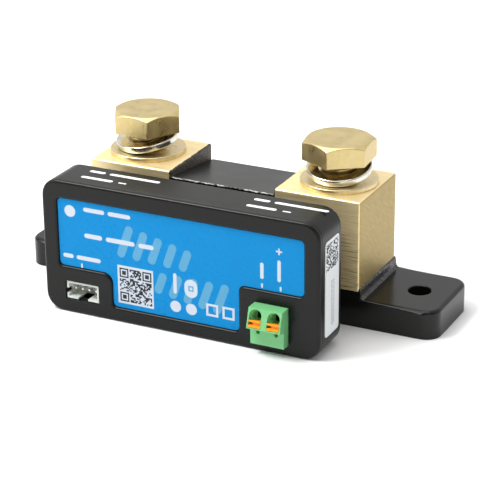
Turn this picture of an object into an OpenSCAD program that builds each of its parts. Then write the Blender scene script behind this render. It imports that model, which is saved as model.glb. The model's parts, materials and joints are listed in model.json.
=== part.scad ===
// Battery monitor shunt: two brass terminal blocks joined by resistance strips on a moulded
// base, with a flat electronics enclosure standing in front of them.
// Millimetres. The origin is midway between the two mounting holes, on the underside.
// +X runs along the base, +Y points to the back and +Z points up.

/* [Base] */
// Overall length over both mounting ears
base_l = 120; // [112:1:160]
// Depth from front to back
base_d = 24.4; // [22:0.2:36]
// Thickness of the mounting ears
ear_h = 7.7; // [5:0.1:9]
// Radius of the ear corners seen from above
ear_corner_r = 4.2; // [1:0.1:6]
// Distance of each mounting hole from the end of the base
hole_inset = 9.2; // [7:0.1:10]
// Diameter of the mounting holes
hole_d = 6; // [4:0.1:8]
// Height of the raised deck that carries the blocks
deck_h = 10.3; // [9.5:0.1:14]
// How far the deck's ends stand out past the blocks
deck_rim = 0.2; // [0:0.1:3]
// Depth of the seats that locate the blocks in the deck
seat_depth = 0.6; // [0.3:0.1:1.5]

/* [Terminal blocks] */
// Width of each block along the base
block_w = 24; // [22:0.5:28]
// Height of each block
block_h = 24.6; // [22:0.1:32]
// How far the blocks' back faces stay in front of the base's back face
block_setback = 0.4; // [0:0.1:2]
// Free width between the two blocks
block_gap = 30; // [24:0.5:40]
// How far each bolt stands outside the middle of its block
bolt_offset = 1; // [0:0.1:2]

/* [Bolts and washers] */
// Thread diameter
thread_d = 10; // [8:0.5:10]
// Rise of the thread in one turn
thread_pitch = 1.5; // [1:0.25:2]
// Length of the bolt under its head
bolt_len = 25; // [20:0.5:27]
// Width of the hexagon head across its flats
head_af = 17; // [15:0.5:19]
// Height of the hexagon head
head_h = 5.5; // [4:0.1:8]
// Angle of a head corner from the +X direction on the left bolt
head_angle_left = 58; // [0:1:60]
// Angle of a head corner from the +X direction on the right bolt
head_angle_right = 34; // [0:1:60]
// Outer diameter of the flat washers
flat_od = 20.4; // [18:0.1:22]
// Thickness of the flat washers
flat_t = 1.3; // [1:0.1:2.5]
// Outer diameter of the spring washers
spring_od = 17.2; // [16:0.1:19]
// Thickness of the spring washers
spring_t = 1.9; // [1.5:0.1:2.5]
// Angle at which the spring washers lean while the bolts are loose
spring_tilt = 11; // [4:0.5:12]
// Angle taken out of the ring by its split
spring_split = 12; // [8:1:30]

/* [Resistance strips] */
// Number of strips between the blocks
strip_count = 4; // [2:1:4]
// Thickness of each strip
strip_t = 1.6; // [1:0.1:2.5]
// Height of each strip
strip_h = 13; // [8:0.5:15]
// Distance from one strip to the next
strip_pitch = 5; // [4:0.1:5.5]
// Depth to which the strips are let into each block
strip_let_in = 4; // [2:0.1:4.5]
// Height of the strips' lower edges above the deck
strip_lift = 2.7; // [1:0.1:3]

/* [Centre cover] */
// Distance of the cover's back edge below the tops of the blocks
cover_drop_back = 4.5; // [2:0.1:6]
// Distance of the cover's front edge below the tops of the blocks
cover_drop_front = 1.6; // [1:0.1:6]
// Wall of the cover
cover_wall = 1.6; // [1:0.1:2.5]

/* [Enclosure] */
// Width of the electronics enclosure
encl_w = 78.7; // [76:0.1:100]
// Height of the enclosure
encl_h = 36.6; // [34.5:0.1:46]
// Depth of the enclosure
encl_d = 13.1; // [13:0.1:18]
// How far the enclosure's middle stands from the base's middle
encl_shift = -0.95; // [-2:0.05:2]
// Free space between the enclosure's back and the front of the blocks
encl_gap = 10; // [6:0.1:14]
// Radius of the enclosure's corners seen from the front
encl_corner_r = 4.7; // [3:0.1:6]
// Wall of the two shells
wall = 1.8; // [1.5:0.1:2.2]
// Depth of the front shell, from its face to the seam
seam_depth = 1.6; // [1.4:0.1:2.5]
// How far the front shell reaches into the rear shell
tongue = 0.86; // [0.6:0.02:1.2]
// Depth of the recess for the front label
recess = 0.8; // [0.4:0.1:1]

/* [Front label] */
// Margin of the label at the enclosure's two sides
label_side = 4.3; // [3:0.1:6]
// Margin at the top
label_top = 4.8; // [3:0.1:6]
// Margin at the bottom, between the port and the plug
label_foot = 3.9; // [3:0.1:6]
// Thickness of the label
label_t = 0.2; // [0.1:0.05:0.3]

/* [Data port] */
// Distance of the port's middle from the enclosure's left side
port_inset = 11; // [9.5:0.1:12]
// Height of the port's middle
port_z = 6.3; // [5:0.1:8]
// Width of the socket
port_w = 9.6; // [8:0.1:11]
// Height of the socket
port_h = 4.9; // [4:0.1:6]
// Number of pins
port_pins = 4; // [3:1:4]

/* [Sensor plug] */
// Distance of the plug's middle from the enclosure's right side
plug_inset = 13.2; // [12:0.1:15]
// Distance from each pole's middle to the plug's side
plug_side = 2.1; // [2:0.1:3]
// Height of the plug's lower face
plug_z = 3; // [2.9:0.1:4]
// Height of the plug
plug_h = 10.2; // [10:0.1:13]
// How far the plug's upper edge stands out of the enclosure
plug_out_top = 3.3; // [3:0.1:4.5]
// How far its lip, the furthest edge, stands out
plug_out_lip = 4.9; // [4.7:0.1:6]
// How far its lower part stands out
plug_out_low = 2.5; // [1:0.1:3]
// Distance between the two poles
pole_pitch = 5; // [4.8:0.1:7.5]
// Radius of the round wire entries
wire_r = 1.25; // [0.9:0.05:1.25]
// Width of the release levers
lever_w = 3.2; // [2.5:0.1:3.2]
// Travel of the release levers
lever_travel = 1.2; // [0.6:0.1:1.2]

/* [Circuit board] */
// Thickness of the circuit board
board_t = 1.6; // [1:0.1:1.6]
// Distance of the board's front from the enclosure's front face
board_y = 7.76; // [7.5:0.02:8]
// Diameter of the spacers between the board and the blocks
spacer_d = 5.5; // [5:0.1:6]
// Diameter of the measuring screws
sense_d = 3; // [2.5:0.1:3]

/* [Hidden] */
$fn = 64;

// Colours
black = "#262624";
brass = "#d8bd7c";
nickel = "#d9d5c4";
manganin = "#b07a52";
steel = "#a9abad";
green = "#77c792";
orange = "#ffa319";
ivory = "#dcdfd8";
white = "#f2f4f6";
blue = "#0a93dc";
board_green = "#1f5b3a";
chip = "#2b2c2f";
pale = "#e4e9e6";

// Clearances
cut = 1;              // how far a cutting shape runs past the face that it opens
thread_gap = 0.05;    // between a bolt's thread and its tapped hole, on the radius
washer_gap = 0.2;     // between a bolt's shank and the flat washers, on the radius
spring_gap = 0.4;     // between a bolt's shank and the leaning spring washers, on the radius
head_gap = 0.02;      // between a bolt head and its washer
loose_fit = 0.15;     // between pieces that drop into each other, on each side
close_fit = 0.05;     // between pieces that are pushed into each other, on each side
plug_gap = 0.25;      // between the plug's faces and the header's faces
lever_gap = 0.1;      // between a lever and its pocket
screw_end_gap = 0.5;  // between the end of a screw and the bottom of its hole
part_gap = 0.3;       // between pieces inside the enclosure that stay clear of each other

// Heights and places of the large pieces
block_x = (block_gap + block_w) / 2;
block_d = base_d - block_setback;
block_y = -block_setback / 2;
block_front = block_y - block_d / 2;
seat_z = deck_h - seat_depth;
block_top = seat_z + block_h;
deck_l = 2 * (block_x + block_w / 2 + deck_rim);
seat_l = (deck_l - block_gap) / 2 + loose_fit + cut;
bolt_x = block_x + bolt_offset;
hole_x = base_l / 2 - hole_inset;
strip_z = deck_h + strip_lift;
cover_back_z = block_top - cover_drop_back;
cover_front_z = block_top - cover_drop_front;

// Bolts
shank_r = thread_d / 2 - thread_gap;
tip_chamfer = thread_pitch * 2 / 3;
tip_room = 2.5;
crown_r = head_af / 2 - 0.3;
washer_z = block_top;
spring_z = washer_z + flat_t;
spring_free_h = spring_od * sin(spring_tilt) + spring_t * cos(spring_tilt);
head_z = spring_z + spring_free_h + head_gap;
bore_depth = bolt_len - (head_z - block_top) + tip_room;
washer_r = shank_r + washer_gap;
spring_r = shank_r + spring_gap;
lean_left = 55;
lean_right = 95;

// Screws from below into the blocks
block_screw_pitch = 16.5;
block_screw_d = 4;
block_screw_bite = 8;
block_head_d = 7.6;
block_head_h = 2.6;
block_head_z = 0.6;
block_key = [2.9, 1.6];

// Enclosure, measured from the middle of its front face's lower edge
encl_front = block_front - encl_gap - encl_d;
inner_y = seam_depth + tongue;
back_y = encl_d - wall;
boss_d = 5.6;
boss_inset = 4.4;
boss_split_y = 6;
lower_boss_x = 14;
shell_screw_d = 2.5;
shell_head_d = 4.4;
shell_head_h = 1.5;
shell_head_sink = 0.6;
shell_screw_end_y = 3.2;
shell_pilot_y = 2.9;
shell_key = [2, 0.9];
label_w = encl_w - 2 * label_side;
label_z = encl_h - label_top;
label_port_gap = 4.15;
label_plug_rise = 3.4;
label_plug_gap = 4.4;
label_r = 1.2;
label_port_r = 2.6;
label_plug_r = 1.6;

// Neck between the enclosure and the blocks
sense_inset = 2.5;
sense_x = block_x - sense_inset;
sense_z = 22;
flange_d = 7.4;
flange_t = 1.2;
neck_wall = 1.8;
neck_w = 2 * (sense_x + flange_d / 2 + part_gap + neck_wall);
neck_z = 9;
neck_drop = 5;
neck_top = min(cover_front_z, encl_h - neck_drop);
sense_bite = 5.5;
sense_head_d = 5.5;
sense_head_h = 2;
sense_key = [2.6, 1.2];

// Data socket
port_x = -encl_w / 2 + port_inset;
port_front_y = 0.36;
port_wall = 0.6;
port_cavity = 4.6;
pin_pitch = 2;
pin_w = 0.5;
pin_tip_y = 2;
pin_tail = 1.5;
port_key_w = 2.9;
port_notch = [2.2, 1.3];
port_notch_drop = 0.9;
port_corner_r = 0.4;
port_step_x = port_x + port_w / 2 + label_port_gap;
port_step_z = port_z + port_h / 2 + label_port_gap;

// Plug and header
plug_w = pole_pitch + 2 * plug_side;
plug_x = encl_w / 2 - plug_inset;
plug_top = plug_z + plug_h;
plug_step_x = plug_x - plug_w / 2 - label_plug_gap;
plug_step_z = plug_top + label_plug_rise;
plug_corner_r = 0.1;
slope_h = 5.1;
lip_z = plug_top - slope_h;
slope_tilt = atan((plug_out_lip - plug_out_top) / slope_h);
lip_under_z = lip_z - (plug_out_lip - plug_out_low) * tan(slope_tilt);
header_setback = 0.2;
header_y = inner_y + header_setback;
header_wall = 0.7;
header_floor = 1.4;
plug_seat_y = header_y - plug_gap;
nose_inset = 1.2;
nose_side = 0.6;
nose_y = board_y - header_floor - part_gap;
cavity_w = 3.5;
cavity_y = -0.6;
cavity_floor = 1.9;
cavity_roof = 1.6;
cavity_z = plug_z + cavity_floor;
cavity_top = plug_top - cavity_roof;
channel_w = 3.4;
channel_s = 0.3;
channel_depth = 0.8;
wire_s = 1.9;
wire_depth = channel_depth + 2.2;
wire_throat = 1.6;
throat_l = 2.2;
lever_s = 3.1;
lever_h = 1.8;
lever_l = 3;
lever_proud = 0.1;
lever_room = 0.4;
lever_pocket = lever_l + lever_travel + lever_room;
lever_slot = [0.8, 0.6];
lever_slot_end = 0.64;
probe_d = 1.1;
probe_drop = 0.9;
probe_z = lip_under_z - probe_drop;
header_pin_w = 1;
header_pin_rise = 3.4;
header_pin_z = plug_z + header_pin_rise;
header_pin_tip_y = 3.2;
header_pin_tail = 1.4;
tube_y = 2;
tube_l = 3.8;
tube_w = 2.4;
contact_bar_t = 0.5;
leaf_w = 2.6;
leaf_t = 0.3;

// Indicators
led_x = [-1.05, 3.45];
led_z = 7.4;
led_size = [2, 1.1, 1.6];
pipe_r = 1.5;

// Circuit board and what is on it
board_edge_gap = 1;
board_w = encl_w - 2 * (wall + board_edge_gap);
board_z = wall + board_edge_gap;
board_top = encl_h - wall - board_edge_gap;
notch_side = 5;
notch_foot = 6.6;
notch_foot_z = 7.7;
radio_at = [-8, 20];
radio_size = [13, 10, 2];
controller_at = [-6, 11.5];
controller_size = [7, 7, 1];
amplifier_at = [-20.5, 14];
amplifier_size = [5, 4, 1.2];
regulator_at = [9, 12];
regulator_size = [4.5, 4.5, 1.5];
inductor_at = [8.5, 18.5];
inductor_size = [6, 6, 3];
capacitor_x = [12, 18];
capacitor_z = 28.5;
capacitor_d = 5;
capacitor_h = 4.4;
sticker_t = 0.15;
sticker_w = 8.2;
sticker_h = 25.6;
sticker_y = 3;
sticker_z = 5.3;
sticker_r = 1;

// A corner of a flat outline, rounded with n straight steps: a, b and c are neighbouring points
function unit(v) = v / norm(v);
function sweep(from, to) = ((to - from + 540) % 360) - 180;
function fillet(a, b, c, r, n = 6) =
    let (u = unit(a - b), v = unit(c - b))
    let (half = acos(u * v) / 2)
    let (middle = b + unit(u + v) * r / sin(half))
    let (p = b + u * r / tan(half) - middle, q = b + v * r / tan(half) - middle)
    let (start = atan2(p[1], p[0]), turn = sweep(start, atan2(q[1], q[0])))
    [for (i = [0 : n]) middle + r * [cos(start + turn * i / n), sin(start + turn * i / n)]];

// An outline from a list of corners, each [x, y, radius]
function rounded(corners) =
    let (k = len(corners))
    [for (i = [0 : k - 1])
        let (a = corners[(i + k - 1) % k], b = corners[i], c = corners[(i + 1) % k])
        each fillet([a[0], a[1]], [b[0], b[1]], [c[0], c[1]], b[2])];

function box_corners(x0, y0, x1, y1, r) = [[x0, y0, r], [x1, y0, r], [x1, y1, r], [x0, y1, r]];

// Outline of the enclosure, drawn in by the given distance
function encl_outline(inset) = rounded(box_corners(
    -encl_w / 2 + inset, inset, encl_w / 2 - inset, encl_h - inset, encl_corner_r - inset));

// Outline of the label, which steps round the port on the left and the plug on the right
function label_outline(inset) =
    let (left = -label_w / 2 + inset, right = label_w / 2 - inset)
    let (foot = label_foot + inset, top = label_z - inset)
    rounded([
        [left, top, label_r], [left, port_step_z + inset, label_r],
        [port_step_x + inset, port_step_z + inset, label_port_r], [port_step_x + inset, foot, label_r],
        [plug_step_x - inset, foot, label_r], [plug_step_x - inset, plug_step_z + inset, label_plug_r],
        [right, plug_step_z + inset, label_r], [right, top, label_r]]);

// Moves a piece from the enclosure's own frame into the part's frame
module at_encl() {
    translate([encl_shift, encl_front, 0]) children();
}

// Raises a front-view outline from y0 towards the back
module slab(y0, depth) {
    translate([0, y0 + depth, 0]) rotate([90, 0, 0]) linear_extrude(depth) children();
}

// Draws a side-view outline, [y, z] points, as a bar along X about x = 0
module bar(width) {
    translate([-width / 2, 0, 0]) rotate([90, 0, 90]) linear_extrude(width) children();
}

// A round rod that starts at y0 and runs towards the back
module rod(x, y0, z, d, length) {
    translate([x, y0, z]) rotate([-90, 0, 0]) cylinder(d = d, h = length);
}

// The hexagon socket of a screw whose head's face is at z = 0: its width over the corners and its depth
module key_socket(key) {
    translate([0, 0, -cut]) cylinder(d = key[0], h = key[1] + cut, $fn = 6);
}

// Places its children at the four screws that hold the two shells together
module at_bosses() {
    for (side = [-1, 1]) {
        translate([side * (encl_w / 2 - boss_inset), 0, encl_h - boss_inset]) children();
        translate([side * lower_boss_x, 0, boss_inset]) children();
    }
}

// Places its children at the four screws that hold the blocks down
module at_block_screws() {
    for (side = [-1, 1], end = [-1, 1]) {
        translate([side * bolt_x, block_y + end * block_screw_pitch / 2, 0]) children();
    }
}

// ---- Base, blocks and strips ----

module base() {
    color(black) difference() {
        union() {
            linear_extrude(ear_h) polygon(rounded(box_corners(
                -base_l / 2, -base_d / 2, base_l / 2, base_d / 2, ear_corner_r)));
            translate([-deck_l / 2, -base_d / 2, 0]) cube([deck_l, base_d, deck_h]);
        }
        for (side = [-1, 1]) {
            translate([side > 0 ? block_gap / 2 - loose_fit : -deck_l / 2 - cut, -base_d / 2 - cut, seat_z])
                cube([seat_l, base_d + 2 * cut, seat_depth + cut]);
            translate([side * hole_x, 0, -cut]) cylinder(d = hole_d, h = ear_h + 2 * cut);
        }
        at_block_screws() {
            translate([0, 0, -cut]) cylinder(d = block_screw_d + 2 * loose_fit, h = deck_h + 2 * cut);
            translate([0, 0, -cut])
                cylinder(d = block_head_d + 2 * loose_fit, h = block_head_z + block_head_h + cut);
        }
    }
}

module block(side) {
    color(brass) difference() {
        translate([side * block_x - block_w / 2, block_front, seat_z])
            cube([block_w, block_d, block_h]);
        translate([side * bolt_x, block_y, block_top - bore_depth])
            cylinder(d = thread_d, h = bore_depth + cut);
        for (i = [0 : strip_count - 1]) {
            translate([0, strip_y(i), strip_z + strip_h / 2])
                cube([block_gap + 2 * strip_let_in, strip_t, strip_h], center = true);
        }
        translate([0, 0, seat_z - cut])
            at_block_screws() cylinder(d = block_screw_d, h = block_screw_bite + cut);
        rod(side * sense_x, block_front - cut, sense_z, sense_d, sense_bite + cut);
    }
}

module block_left() { block(-1); }

module block_right() { block(1); }

function strip_y(i) = block_y + (i - (strip_count - 1) / 2) * strip_pitch;

module strip(i) {
    if (i < strip_count) {
        color(manganin) translate([0, strip_y(i), strip_z + strip_h / 2])
            cube([block_gap + 2 * strip_let_in, strip_t, strip_h], center = true);
    }
}

// The cover's side outline, drawn in by the given distance, with its underside at the given height
function cover_outline(inset, foot) = [
    [block_front + inset, foot], [block_front + block_d - inset, foot],
    [block_front + block_d - inset, cover_back_z - inset], [block_front + inset, cover_front_z - inset]];

module centre_cover() {
    width = block_gap - 2 * loose_fit;
    color(black) difference() {
        bar(width) polygon(cover_outline(0, deck_h));
        bar(width - 2 * cover_wall) polygon(cover_outline(cover_wall, deck_h - cut));
        for (i = [0 : strip_count - 1]) {
            translate([-block_gap / 2, strip_y(i) - strip_t / 2 - loose_fit, deck_h - cut])
                cube([block_gap, strip_t + 2 * loose_fit, strip_lift + strip_h + loose_fit + cut]);
        }
    }
}

module block_screws() {
    color(steel) at_block_screws() translate([0, 0, block_head_z]) difference() {
        union() {
            cylinder(d = block_head_d, h = block_head_h);
            cylinder(d = block_screw_d, h = seat_z - block_head_z + block_screw_bite - screw_end_gap);
        }
        key_socket(block_key);
    }
}

// ---- Bolts and washers ----

module flat_washer(side) {
    color(nickel) translate([side * bolt_x, block_y, washer_z]) difference() {
        cylinder(d = flat_od, h = flat_t);
        translate([0, 0, -cut]) cylinder(r = washer_r, h = flat_t + 2 * cut);
    }
}

// A split ring that leans between the flat washer and the bolt's head, high towards one side
module spring_washer(side, lean) {
    color(nickel) translate([side * bolt_x, block_y, spring_z + spring_free_h / 2])
        rotate([0, -spring_tilt, lean])
        rotate([0, 0, spring_split]) rotate_extrude(angle = 360 - spring_split)
        translate([spring_r, -spring_t / 2]) square([spring_od / 2 - spring_r, spring_t]);
}

module bolt(side, angle) {
    head_r = head_af / sqrt(3);
    color(brass) translate([side * bolt_x, block_y, head_z]) {
        intersection() {
            rotate([0, 0, angle]) cylinder(r = head_r, h = head_h, $fn = 6);
            cylinder(r1 = crown_r + head_h * sqrt(3), r2 = crown_r, h = head_h);
        }
        translate([0, 0, -bolt_len + tip_chamfer]) cylinder(r = shank_r, h = bolt_len - tip_chamfer + cut);
        translate([0, 0, -bolt_len]) cylinder(r1 = shank_r - tip_chamfer, r2 = shank_r, h = tip_chamfer);
    }
}

module flat_washer_left() { flat_washer(-1); }

module flat_washer_right() { flat_washer(1); }

module spring_washer_left() { spring_washer(-1, lean_left); }

module spring_washer_right() { spring_washer(1, lean_right); }

module bolt_left() { bolt(-1, head_angle_left); }

module bolt_right() { bolt(1, head_angle_right); }

// ---- Enclosure ----

module enclosure_rear() {
    color(black) at_encl() difference() {
        union() {
            difference() {
                slab(seam_depth, encl_d - seam_depth) polygon(encl_outline(0));
                slab(seam_depth - cut, back_y - seam_depth + cut) polygon(encl_outline(wall));
            }
            translate([-encl_shift - neck_w / 2, back_y, neck_z])
                cube([neck_w, wall + encl_gap, neck_top - neck_z]);
            intersection() {
                at_bosses() rod(0, boss_split_y, 0, boss_d, encl_d - boss_split_y);
                slab(seam_depth, encl_d - seam_depth) polygon(encl_outline(0));
            }
        }
        translate([-encl_shift - neck_w / 2 + neck_wall, back_y - cut, neck_z + neck_wall])
            cube([neck_w - 2 * neck_wall, wall + encl_gap - neck_wall + cut,
                neck_top - neck_z - 2 * neck_wall]);
        for (side = [-1, 1]) {
            rod(side * sense_x - encl_shift, encl_d, sense_z, spacer_d + 2 * loose_fit, encl_gap + cut);
        }
        at_bosses() {
            rod(0, boss_split_y - cut, 0, shell_screw_d + 2 * loose_fit, encl_d);
            rod(0, encl_d - shell_head_sink - shell_head_h, 0, shell_head_d + 2 * loose_fit, encl_d);
        }
    }
}

module enclosure_front() {
    color(black) at_encl() difference() {
        union() {
            slab(0, seam_depth) polygon(encl_outline(0));
            slab(seam_depth, tongue) polygon(encl_outline(wall + loose_fit));
            intersection() {
                at_bosses() rod(0, seam_depth, 0, boss_d, boss_split_y - seam_depth);
                slab(seam_depth, encl_d) polygon(encl_outline(wall + loose_fit));
            }
        }
        slab(-cut, recess + cut) polygon(label_outline(0));
        slab(-cut, encl_d) polygon(rounded(box_corners(
            port_x - port_w / 2 - loose_fit, port_z - port_h / 2 - loose_fit,
            port_x + port_w / 2 + loose_fit, port_z + port_h / 2 + loose_fit, port_corner_r)));
        slab(-cut, encl_d) polygon(rounded(box_corners(
            plug_x - plug_w / 2 - loose_fit, plug_z - loose_fit,
            plug_x + plug_w / 2 + loose_fit, plug_top + loose_fit, plug_corner_r)));
        for (x = led_x) rod(x, -cut, led_z, 2 * (pipe_r + close_fit), encl_d);
        at_bosses() rod(0, shell_pilot_y, 0, shell_screw_d, encl_d);
    }
}

module enclosure_screws() {
    head_y = encl_d - shell_head_sink - shell_head_h;
    color(steel) at_encl() at_bosses() difference() {
        union() {
            rod(0, head_y, 0, shell_head_d, shell_head_h);
            rod(0, shell_screw_end_y, 0, shell_screw_d, head_y - shell_screw_end_y + close_fit);
        }
        translate([0, head_y + shell_head_h, 0]) rotate([90, 0, 0]) key_socket(shell_key);
    }
}

module front_label() {
    color(blue) at_encl() slab(recess - label_t, label_t) polygon(label_outline(loose_fit));
}

module side_sticker() {
    color(white) at_encl() translate([encl_w / 2 + sticker_t / 2, 0, 0])
        bar(sticker_t) polygon(rounded(box_corners(
            sticker_y, sticker_z, sticker_y + sticker_w, sticker_z + sticker_h, sticker_r)));
}

// ---- Circuit board ----

module circuit_board() {
    half = board_w / 2;
    side = half - notch_side;
    high = board_top - notch_side;
    l0 = -lower_boss_x - notch_foot / 2;
    l1 = -lower_boss_x + notch_foot / 2;
    outline = [
        [-half, board_z], [l0, board_z], [l0, notch_foot_z], [l1, notch_foot_z], [l1, board_z],
        [-l1, board_z], [-l1, notch_foot_z], [-l0, notch_foot_z], [-l0, board_z], [half, board_z],
        [half, high], [side, high], [side, board_top], [-side, board_top], [-side, high], [-half, high]];
    color(board_green) at_encl() difference() {
        slab(board_y, board_t) polygon(outline);
        for (s = [-1, 1]) {
            rod(s * sense_x - encl_shift, board_y - cut, sense_z, sense_d + 2 * loose_fit, encl_d);
            rod(plug_x + s * pole_pitch / 2, board_y - cut, header_pin_z,
                header_pin_w * sqrt(2) + 2 * close_fit, encl_d);
        }
        for (i = [0 : port_pins - 1])
            rod(port_pin_x(i), board_y - cut, port_z, pin_w * sqrt(2) + 2 * close_fit, encl_d);
    }
}

module spacer(side) {
    board_back = encl_front + board_y + board_t;
    wall_front = block_front - neck_wall;
    color(brass) difference() {
        union() {
            rod(side * sense_x, board_back, sense_z, spacer_d, block_front - board_back);
            rod(side * sense_x, wall_front - flange_t, sense_z, flange_d, flange_t);
        }
        rod(side * sense_x, board_back - cut, sense_z, sense_d + 2 * loose_fit, encl_d + encl_gap);
    }
}

module sense_screw(side) {
    board_front = encl_front + board_y;
    color(steel) difference() {
        union() {
            rod(side * sense_x, board_front - sense_head_h, sense_z, sense_head_d, sense_head_h);
            rod(side * sense_x, board_front - close_fit, sense_z, sense_d,
                block_front + sense_bite - screw_end_gap - board_front + close_fit);
        }
        translate([side * sense_x, board_front - sense_head_h, sense_z])
            rotate([-90, 0, 0]) key_socket(sense_key);
    }
}

module spacer_left() { spacer(-1); }

module spacer_right() { spacer(1); }

module sense_screw_left() { sense_screw(-1); }

module sense_screw_right() { sense_screw(1); }

// A chip on the board's front: its lower left corner, and its width, height and thickness
module chip_box(at, size) {
    at_encl() translate([at[0], board_y - size[2], at[1]]) cube([size[0], size[2], size[1]]);
}

module radio_module() { color(nickel) chip_box(radio_at, radio_size); }

module controller() { color(chip) chip_box(controller_at, controller_size); }

module sense_amplifier() { color(chip) chip_box(amplifier_at, amplifier_size); }

module regulator() { color(chip) chip_box(regulator_at, regulator_size); }

module inductor() { color(chip) chip_box(inductor_at, inductor_size); }

module capacitor(i) {
    color(steel) at_encl() rod(capacitor_x[i], board_y - capacitor_h, capacitor_z, capacitor_d, capacitor_h);
}

module capacitor_left() { capacitor(0); }

module capacitor_right() { capacitor(1); }

module status_led(i) {
    color(white) at_encl()
        translate([led_x[i] - led_size[0] / 2, board_y - led_size[1], led_z - led_size[2] / 2])
        cube(led_size);
}

module light_pipe(i) {
    color(pale) at_encl()
        rod(led_x[i], recess, led_z, 2 * pipe_r, board_y - led_size[1] - part_gap - recess);
}

module status_led_left() { status_led(0); }

module status_led_right() { status_led(1); }

module light_pipe_left() { light_pipe(0); }

module light_pipe_right() { light_pipe(1); }

// ---- Data socket ----

function port_pin_x(i) = port_x + (i - (port_pins - 1) / 2) * pin_pitch;

module data_socket() {
    w = port_w - 2 * port_wall;
    h = port_h - 2 * port_wall;
    color(ivory) at_encl() difference() {
        translate([port_x - port_w / 2, port_front_y, port_z - port_h / 2])
            cube([port_w, board_y - port_front_y, port_h]);
        translate([port_x - w / 2, port_front_y - cut, port_z - h / 2]) cube([w, port_cavity + cut, h]);
        translate([port_x - port_key_w / 2, port_front_y - cut, port_z - port_h / 2 - cut])
            cube([port_key_w, port_cavity + cut, port_wall + 2 * cut]);
        translate([port_x - port_w / 2 - cut, port_front_y - cut, port_z - port_notch_drop])
            cube([port_wall + 2 * cut, port_notch[0] + cut, port_notch[1]]);
        for (i = [0 : port_pins - 1]) {
            translate([port_pin_x(i), encl_d / 2, port_z])
                cube([pin_w + 2 * close_fit, encl_d, pin_w + 2 * close_fit], center = true);
        }
    }
}

module data_pins() {
    color(brass) at_encl() for (i = [0 : port_pins - 1]) {
        translate([port_pin_x(i) - pin_w / 2, pin_tip_y, port_z - pin_w / 2])
            cube([pin_w, board_y + board_t + pin_tail - pin_tip_y, pin_w]);
    }
}

// ---- Sensor plug and its header ----

module at_plug() {
    at_encl() translate([plug_x, 0, 0]) children();
}

// The sloping front of the plug: x along it, y down it from its upper edge and z into the plug
module on_slope() {
    translate([0, -plug_out_top, plug_top]) rotate([-90 - slope_tilt, 0, 0]) children();
}

module at_poles() {
    for (side = [-1, 1]) translate([side * pole_pitch / 2, 0, 0]) children();
}

module plug_header() {
    nose_w = plug_w - 2 * nose_side + 2 * loose_fit;
    color(green) at_plug() difference() {
        translate([-plug_w / 2 - header_wall, header_y, plug_z - header_wall])
            cube([plug_w + 2 * header_wall, board_y - header_y, plug_h + 2 * header_wall]);
        translate([-nose_w / 2, header_y - cut, plug_z + nose_inset - loose_fit])
            cube([nose_w, board_y - header_floor - header_y + cut, plug_h - 2 * nose_inset + 2 * loose_fit]);
        at_poles() translate([0, encl_d / 2, header_pin_z])
            cube([header_pin_w + 2 * close_fit, encl_d, header_pin_w + 2 * close_fit], center = true);
    }
}

module header_pins() {
    color(nickel) at_plug() at_poles()
        translate([-header_pin_w / 2, header_pin_tip_y, header_pin_z - header_pin_w / 2])
        cube([header_pin_w, board_y + board_t + header_pin_tail - header_pin_tip_y, header_pin_w]);
}

module plug_body() {
    color(green) at_plug() difference() {
        union() {
            bar(plug_w) polygon([
                [plug_seat_y, plug_z], [-plug_out_low, plug_z], [-plug_out_low, lip_under_z],
                [-plug_out_lip, lip_z], [-plug_out_top, plug_top], [plug_seat_y, plug_top]]);
            translate([-plug_w / 2 + nose_side, plug_seat_y - cut, plug_z + nose_inset])
                cube([plug_w - 2 * nose_side, nose_y - plug_seat_y + cut, plug_h - 2 * nose_inset]);
        }
        at_poles() {
            translate([-cavity_w / 2, cavity_y, cavity_z])
                cube([cavity_w, nose_y - cavity_y + cut, cavity_top - cavity_z]);
            rod(0, -plug_out_low - cut, probe_z, probe_d, cut + 1);
            on_slope() {
                translate([0, channel_s + channel_w / 2, -cut])
                    cylinder(d = channel_w, h = channel_depth + cut);
                translate([-channel_w / 2, channel_s + channel_w / 2, -cut])
                    cube([channel_w, lever_s - channel_s - channel_w / 2, channel_depth + cut]);
                translate([0, wire_s, -cut]) cylinder(r = wire_r, h = wire_depth + cut);
                translate([-wire_throat / 2, wire_s - wire_throat / 2, wire_depth - cut])
                    cube([wire_throat, wire_throat, cut + throat_l]);
                translate([-lever_w / 2 - lever_gap, lever_s - lever_gap, -cut])
                    cube([lever_w + 2 * lever_gap, lever_h + 2 * lever_gap, lever_pocket + cut]);
            }
        }
    }
}

module lever(side) {
    color(orange) at_plug() translate([side * pole_pitch / 2, 0, 0]) on_slope() difference() {
        translate([-lever_w / 2, lever_s, -lever_proud]) cube([lever_w, lever_h, lever_l + lever_proud]);
        translate([-lever_w / 2 - cut, lever_s + (lever_h - lever_slot[1]) / 2, -lever_proud - cut])
            cube([lever_w - lever_slot_end + cut, lever_slot[1], lever_slot[0] + cut]);
    }
}

// The sleeve that grips a header pin, with the bar that carries the current to the wire
module contact(side) {
    color(nickel) at_plug() translate([side * pole_pitch / 2, 0, header_pin_z]) difference() {
        union() {
            translate([-tube_w / 2, tube_y, -tube_w / 2]) cube([tube_w, tube_l, tube_w]);
            translate([-tube_w / 2, cavity_y + close_fit, -tube_w / 2])
                cube([tube_w, tube_y - cavity_y, contact_bar_t]);
        }
        translate([-header_pin_w / 2 - close_fit, tube_y - cut, -header_pin_w / 2 - close_fit])
            cube([header_pin_w + 2 * close_fit, tube_l + 2 * cut, header_pin_w + 2 * close_fit]);
    }
}

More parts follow.
